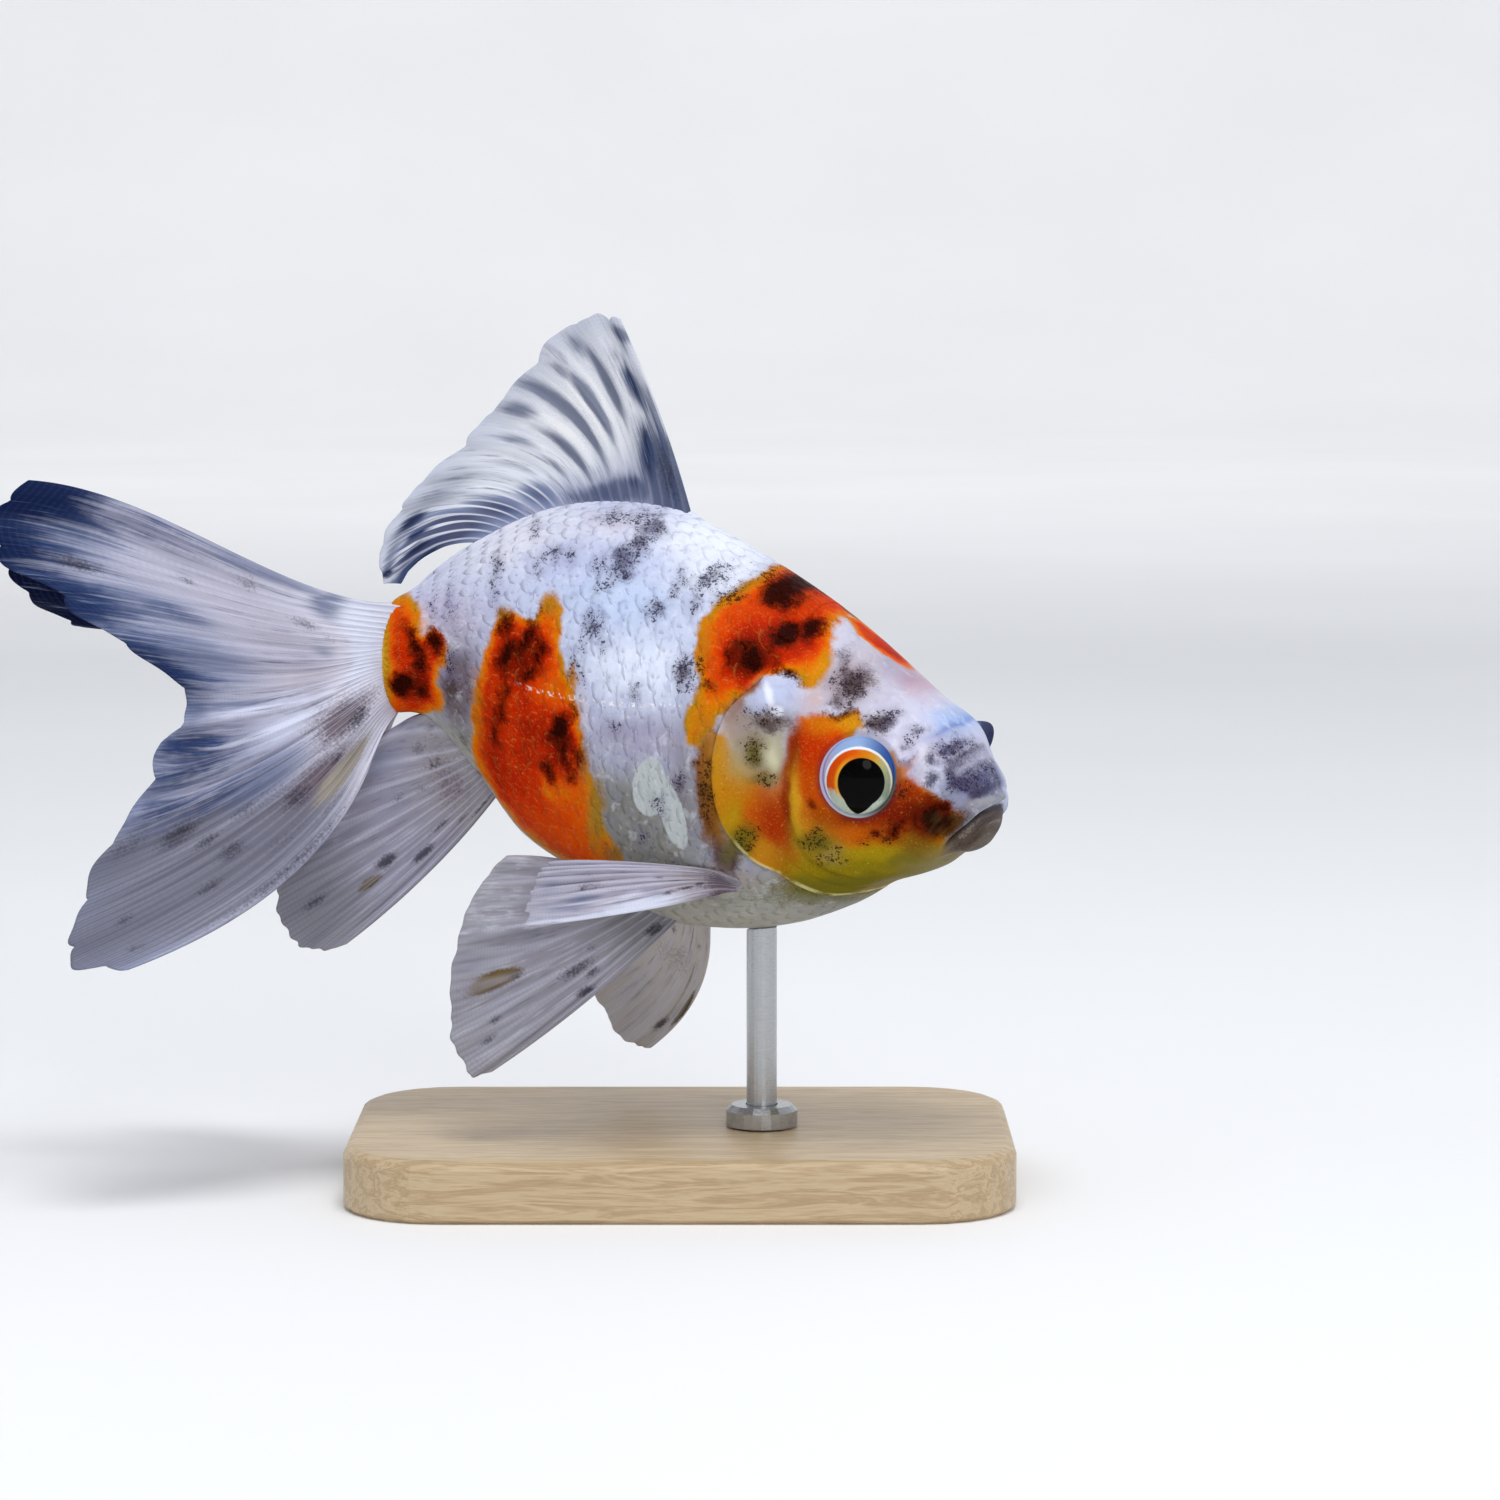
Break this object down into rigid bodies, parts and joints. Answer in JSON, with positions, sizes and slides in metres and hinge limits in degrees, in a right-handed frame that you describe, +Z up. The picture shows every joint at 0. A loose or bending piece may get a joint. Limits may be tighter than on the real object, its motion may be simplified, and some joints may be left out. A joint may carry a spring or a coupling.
{
  "type": "fancy goldfish, calico fantail, life-size model on a display stand",
  "caption": "Life-size still model of a calico fancy goldfish swimming to the right, on a flat base with a short rod.",
  "frame": {"origin": "centre of the underside of the stand's base", "axes": "+Z up, +X the way the fish faces; the head turns toward -Y, which is the fish's right"},
  "size_m": [0.1479, 0.0684, 0.1265],
  "materials": {
    "head": "glossy skin, orange and lilac white",
    "gill_cover_R": "glossy gold and orange",
    "gill_cover_L": "glossy gold and orange",
    "eye_R": "polished, black pupil in an orange and cream ring",
    "eye_L": "polished, black pupil in an orange and cream ring",
    "trunk": "satin lilac white with orange and black patches",
    "tail_stem": "satin orange red",
    "dorsal_fin": "thin ribbed membrane, part clear",
    "tail_fin_R": "thin ribbed membrane, navy to lilac",
    "tail_fin_L": "thin ribbed membrane, navy to lilac",
    "anal_fin_R": "thin ribbed membrane",
    "anal_fin_L": "thin ribbed membrane",
    "pectoral_fin_R": "thin ribbed membrane",
    "pectoral_fin_L": "thin ribbed membrane",
    "pelvic_fin_R": "thin ribbed membrane",
    "pelvic_fin_L": "thin ribbed membrane",
    "stand_base": "pale satin wood",
    "stand_collar": "brushed steel",
    "stand_rod": "brushed steel"
  },
  "bodies": {
    "root": {"head": "head", "gill_cover_R": "gill_cover_R", "gill_cover_L": "gill_cover_L", "eye_R": "eye_R", "eye_L": "eye_L", "trunk": "trunk", "tail_stem": "tail_stem", "dorsal_fin": "dorsal_fin", "tail_fin_R": "tail_fin_R", "tail_fin_L": "tail_fin_L", "anal_fin_R": "anal_fin_R", "anal_fin_L": "anal_fin_L", "pectoral_fin_R": "pectoral_fin_R", "pectoral_fin_L": "pectoral_fin_L", "pelvic_fin_R": "pelvic_fin_R", "pelvic_fin_L": "pelvic_fin_L", "stand_base": "stand_base", "stand_collar": "stand_collar", "stand_rod": "stand_rod"}
  },
  "joints": []
}
